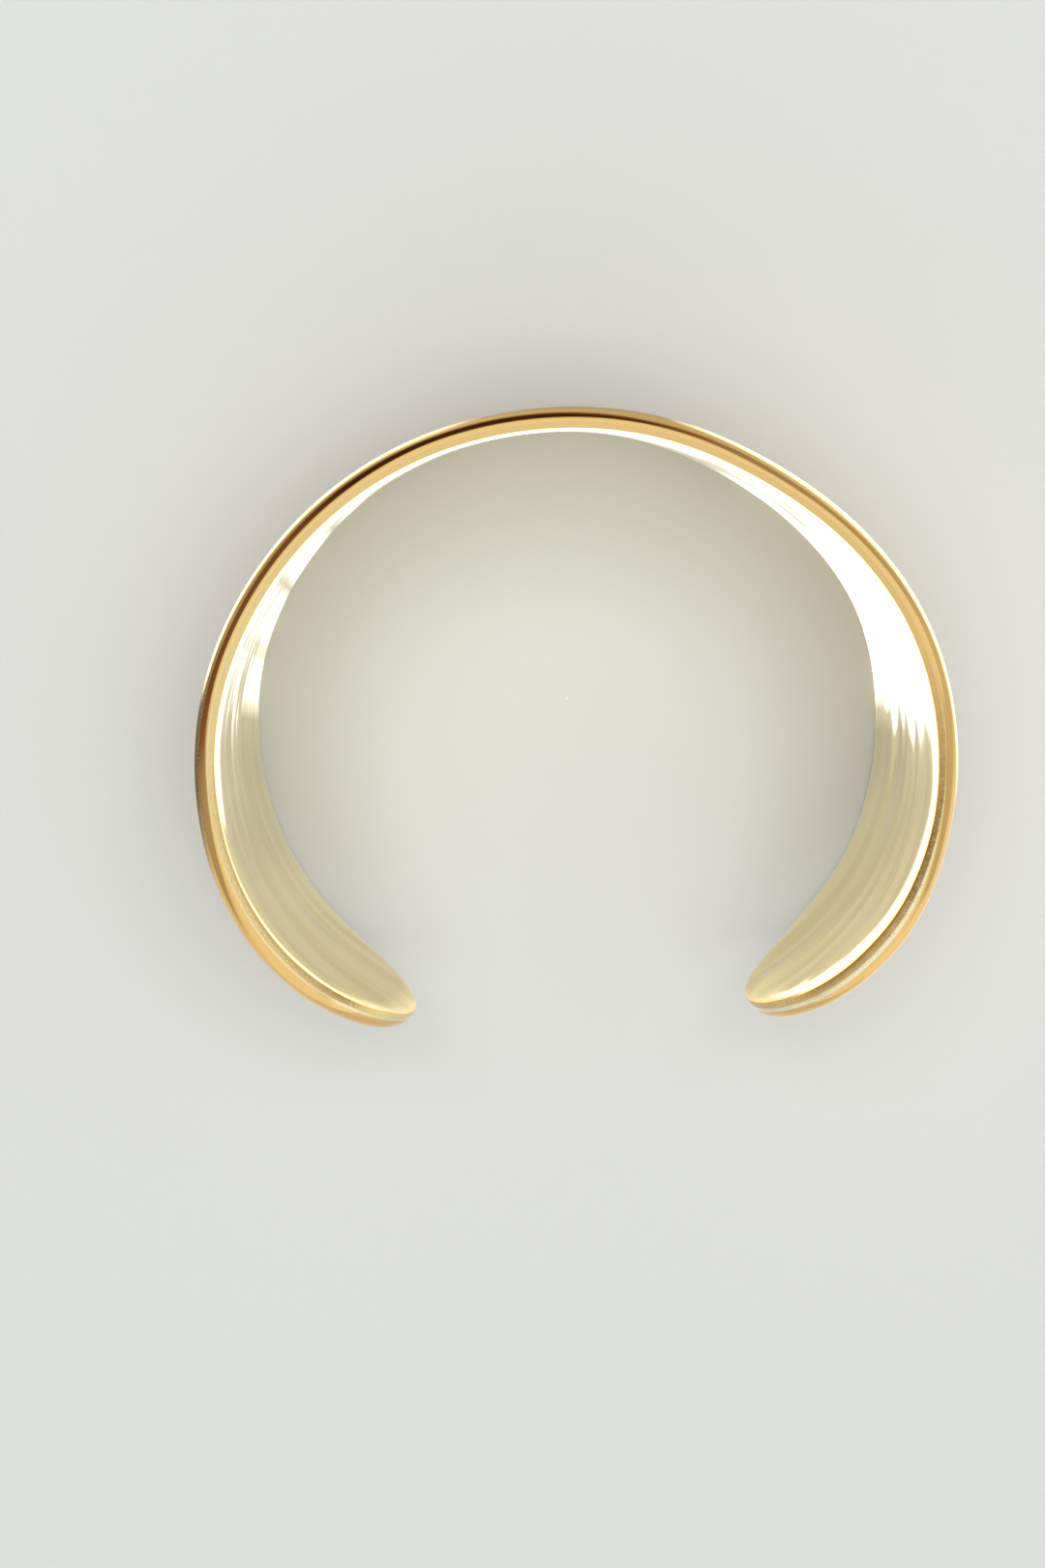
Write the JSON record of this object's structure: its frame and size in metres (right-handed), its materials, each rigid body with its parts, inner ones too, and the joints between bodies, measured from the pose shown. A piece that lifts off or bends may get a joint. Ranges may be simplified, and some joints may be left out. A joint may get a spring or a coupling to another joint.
{
  "type": "open cuff bangle",
  "caption": "Wide open C-shaped cuff bangle in polished gold-coloured metal, with softly rounded rims and full-round terminals.",
  "frame": {"origin": "centre of the base of the part's box, in the plane of the lower rim's flat edge", "axes": "+Z along the cuff's own axis, up from the rim it lies on; +Y towards the back of the band; the gap between the terminals opens towards -Y"},
  "size_m": [0.0638, 0.0554, 0.039],
  "materials": {
    "gold_plate": "polished yellow gold plate, with a finely grained flat edge"
  },
  "bodies": {
    "root": {"cuff_band": "gold_plate"}
  },
  "joints": []
}
